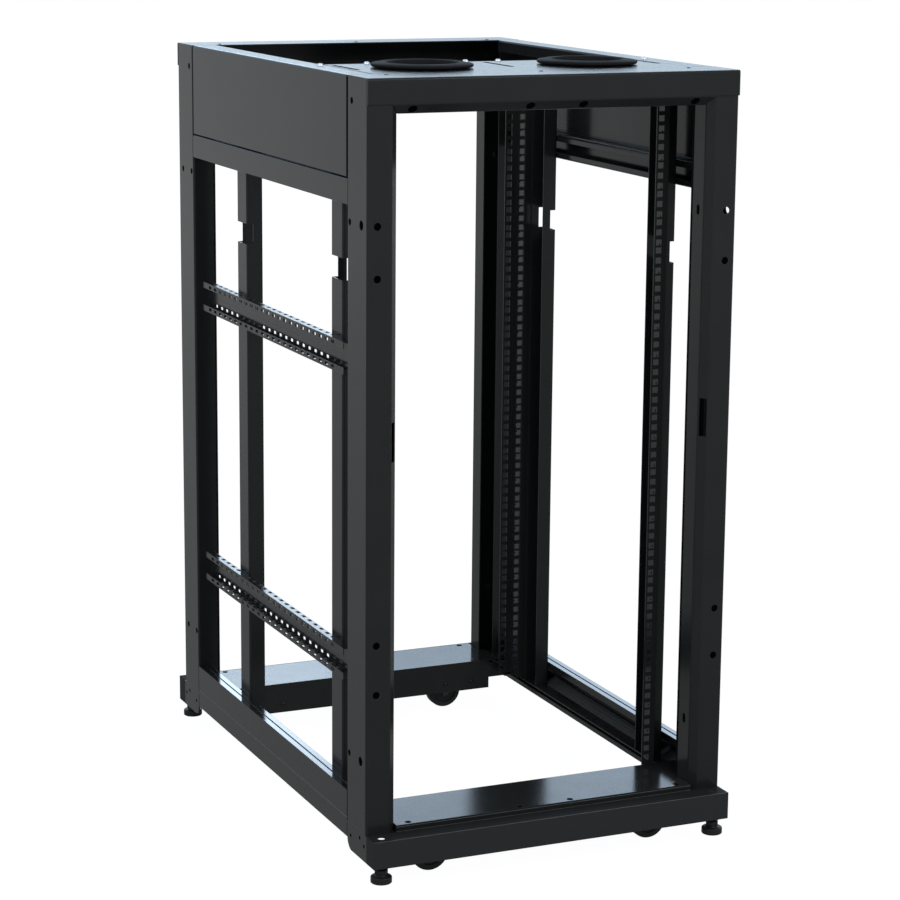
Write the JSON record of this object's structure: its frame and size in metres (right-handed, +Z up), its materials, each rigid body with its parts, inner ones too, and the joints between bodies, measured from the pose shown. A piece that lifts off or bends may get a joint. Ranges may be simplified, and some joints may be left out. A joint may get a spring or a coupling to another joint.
{
  "type": "open-frame equipment rack",
  "caption": "Tall open frame of black folded steel with square-hole rack rails, side braces, cable openings in the top, levelling feet and swivel casters.",
  "frame": {"origin": "on the floor under the middle of the rack", "axes": "+X to the right seen from the front, +Y to the back, +Z up"},
  "size_m": [0.6096, 0.9398, 1.2387],
  "materials": {
    "black_paint": "semi-gloss textured powder coat",
    "grommet_rubber": "satin moulded rubber",
    "wheel_rubber": "matt",
    "zinc_steel": "dark plated steel",
    "foot_black": "satin black"
  },
  "bodies": {
    "frame": {"caster_plates": "zinc_steel", "front_base_beam": "black_paint", "front_left_post": "black_paint", "front_left_rack_rail": "black_paint", "front_left_upright": "black_paint", "front_right_post": "black_paint", "front_right_rack_rail": "black_paint", "front_right_upright": "black_paint", "front_top_beam": "black_paint", "left_grommet": "grommet_rubber", "left_lower_rail": "black_paint", "left_skirt": "black_paint", "left_top_panel": "black_paint", "left_upper_rail": "black_paint", "lower_left_brace": "black_paint", "rear_base_beam": "black_paint", "rear_left_post": "black_paint", "rear_left_rack_rail": "black_paint", "rear_left_upright": "black_paint", "rear_right_post": "black_paint", "rear_right_rack_rail": "black_paint", "rear_right_upright": "black_paint", "rear_top_beam": "black_paint", "right_grommet": "grommet_rubber", "right_lower_rail": "black_paint", "right_skirt": "black_paint", "right_top_panel": "black_paint", "right_upper_rail": "black_paint", "top_plate": "black_paint", "upper_left_brace": "black_paint"},
    "front_left_foot": {"front_left_foot": "foot_black"},
    "front_left_swivel": {"front_left_caster_fork": "zinc_steel"},
    "front_left_wheel": {"front_left_caster_wheel": "wheel_rubber"},
    "front_right_foot": {"front_right_foot": "foot_black"},
    "front_right_swivel": {"front_right_caster_fork": "zinc_steel"},
    "front_right_wheel": {"front_right_caster_wheel": "wheel_rubber"},
    "rear_left_foot": {"rear_left_foot": "foot_black"},
    "rear_left_swivel": {"rear_left_caster_fork": "zinc_steel"},
    "rear_left_wheel": {"rear_left_caster_wheel": "wheel_rubber"},
    "rear_right_foot": {"rear_right_foot": "foot_black"},
    "rear_right_swivel": {"rear_right_caster_fork": "zinc_steel"},
    "rear_right_wheel": {"rear_right_caster_wheel": "wheel_rubber"}
  },
  "joints": [
    {"name": "front_left_foot_screw", "type": "slide", "parent": "frame", "child": "front_left_foot", "axis": [0, 0, 1], "range_m": [-0.025, 0.001]},
    {"name": "front_left_caster_swivel", "type": "hinge", "parent": "frame", "child": "front_left_swivel", "pos_m": [-0.191, -0.384, 0.085], "axis": [0, 0, 1], "continuous": true},
    {"name": "front_left_wheel_spin", "type": "hinge", "parent": "front_left_swivel", "child": "front_left_wheel", "pos_m": [-0.179, -0.384, 0.031], "axis": [0, 1, 0], "continuous": true},
    {"name": "front_right_foot_screw", "type": "slide", "parent": "frame", "child": "front_right_foot", "axis": [0, 0, 1], "range_m": [-0.025, 0.001]},
    {"name": "front_right_caster_swivel", "type": "hinge", "parent": "frame", "child": "front_right_swivel", "pos_m": [0.191, -0.384, 0.085], "axis": [0, 0, 1], "continuous": true},
    {"name": "front_right_wheel_spin", "type": "hinge", "parent": "front_right_swivel", "child": "front_right_wheel", "pos_m": [0.203, -0.384, 0.031], "axis": [0, 1, 0], "continuous": true},
    {"name": "rear_left_foot_screw", "type": "slide", "parent": "frame", "child": "rear_left_foot", "axis": [0, 0, 1], "range_m": [-0.025, 0.001]},
    {"name": "rear_left_caster_swivel", "type": "hinge", "parent": "frame", "child": "rear_left_swivel", "pos_m": [-0.191, 0.384, 0.085], "axis": [0, 0, 1], "continuous": true},
    {"name": "rear_left_wheel_spin", "type": "hinge", "parent": "rear_left_swivel", "child": "rear_left_wheel", "pos_m": [-0.203, 0.384, 0.031], "axis": [0, 1, 0], "continuous": true},
    {"name": "rear_right_foot_screw", "type": "slide", "parent": "frame", "child": "rear_right_foot", "axis": [0, 0, 1], "range_m": [-0.025, 0.001]},
    {"name": "rear_right_caster_swivel", "type": "hinge", "parent": "frame", "child": "rear_right_swivel", "pos_m": [0.191, 0.384, 0.085], "axis": [0, 0, 1], "continuous": true},
    {"name": "rear_right_wheel_spin", "type": "hinge", "parent": "rear_right_swivel", "child": "rear_right_wheel", "pos_m": [0.179, 0.384, 0.031], "axis": [0, 1, 0], "continuous": true}
  ]
}
